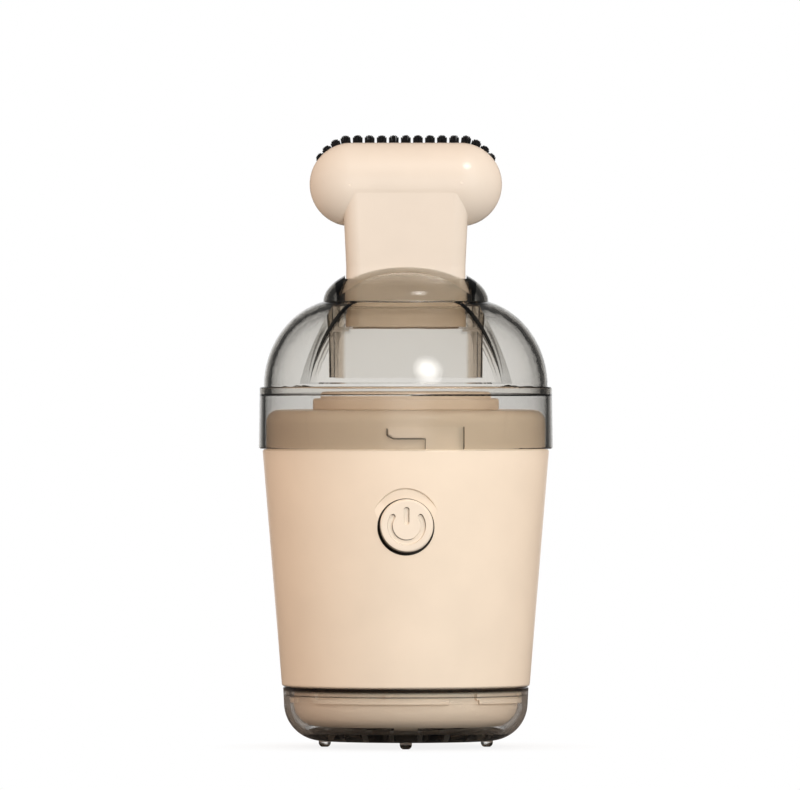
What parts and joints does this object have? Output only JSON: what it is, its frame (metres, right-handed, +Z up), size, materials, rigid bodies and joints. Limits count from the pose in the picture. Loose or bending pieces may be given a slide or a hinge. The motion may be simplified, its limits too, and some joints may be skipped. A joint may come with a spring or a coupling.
{
  "type": "handheld vacuum cleaner",
  "caption": "Small upright handheld vacuum with a twist-off clear dust cup, a pull-out brush nozzle, a round power button and a clear base cap on nub feet.",
  "frame": {"origin": "on the standing surface under the middle of the four feet", "axes": "+Z up along the turning axis of the body and the cup; -Y is the front with the power button"},
  "size_m": [0.08, 0.08, 0.1664],
  "materials": {
    "body_plastic": "satin peach moulded plastic",
    "nozzle_plastic": "satin peach moulded plastic",
    "filter_plastic": "satin peach moulded plastic",
    "base_plastic": "satin peach moulded plastic",
    "button_plastic": "satin peach moulded plastic",
    "smoked_clear": "polished smoke-tinted clear plastic",
    "bristle_nylon": "black nylon",
    "filter_paper": "pleated off-white filter paper",
    "soft_rubber": "soft black rubber",
    "switch_plastic": "black moulded plastic",
    "circuit_board": "green solder mask",
    "screw_steel": "zinc-plated steel",
    "fan_plastic": "dark grey moulded plastic",
    "impeller_plastic": "white moulded plastic",
    "shaft_steel": "ground steel",
    "bush_bronze": "sintered bronze",
    "motor_steel": "zinc-plated drawn steel",
    "cell_wrap": "shrink-wrapped steel can",
    "exhaust_foam": "open-cell grey foam",
    "port_black": "black receptacle"
  },
  "bodies": {
    "housing": {"filter_grille": "filter_plastic", "filter_frame": "filter_plastic", "filter_medium": "filter_paper", "filter_gasket": "soft_rubber", "top_cover": "body_plastic", "body_shell": "body_plastic", "power_switch": "switch_plastic", "control_board": "circuit_board", "board_screws": "screw_steel", "fan_cover": "fan_plastic", "fan_housing": "fan_plastic", "fan_screws": "screw_steel", "upper_bearing": "bush_bronze", "lower_bearing": "bush_bronze", "motor_can": "motor_steel", "motor_end_cap": "switch_plastic", "motor_sleeve": "soft_rubber", "motor_screws": "screw_steel", "battery_left": "cell_wrap", "battery_right": "cell_wrap", "battery_holder": "fan_plastic", "base_housing": "base_plastic", "base_screws": "screw_steel", "exhaust_foam": "exhaust_foam", "charging_port": "port_black", "charging_board": "circuit_board"},
    "dust_cup": {"dust_cup": "smoked_clear", "inlet_duct": "smoked_clear"},
    "nozzle": {"brush_nozzle": "nozzle_plastic", "front_bristles": "bristle_nylon", "rear_bristles": "bristle_nylon"},
    "power_button": {"button_cap": "button_plastic", "switch_plunger": "switch_plastic"},
    "impeller": {"impeller": "impeller_plastic", "motor_shaft": "shaft_steel"},
    "base_cap": {"base_cap": "smoked_clear"}
  },
  "joints": [
    {"name": "cup_twist", "type": "hinge", "parent": "housing", "child": "dust_cup", "pos_m": [0, 0, 0.0811], "axis": [0, 0, 1], "range_deg": [-15.8, 0]},
    {"name": "nozzle_pull", "type": "slide", "parent": "dust_cup", "child": "nozzle", "axis": [0, 0, 1], "range_m": [0, 0.03]},
    {"name": "button_press", "type": "slide", "parent": "housing", "child": "power_button", "axis": [0, 1, 0], "range_m": [0, 0.0008], "stiffness_N_per_m": 300},
    {"name": "impeller_spin", "type": "hinge", "parent": "housing", "child": "impeller", "pos_m": [0, 0, 0.0656], "axis": [0, 0, 1], "continuous": true},
    {"name": "base_cap_twist", "type": "hinge", "parent": "housing", "child": "base_cap", "pos_m": [0, 0, 0.0138], "axis": [0, 0, 1], "range_deg": [0, 30]}
  ]
}
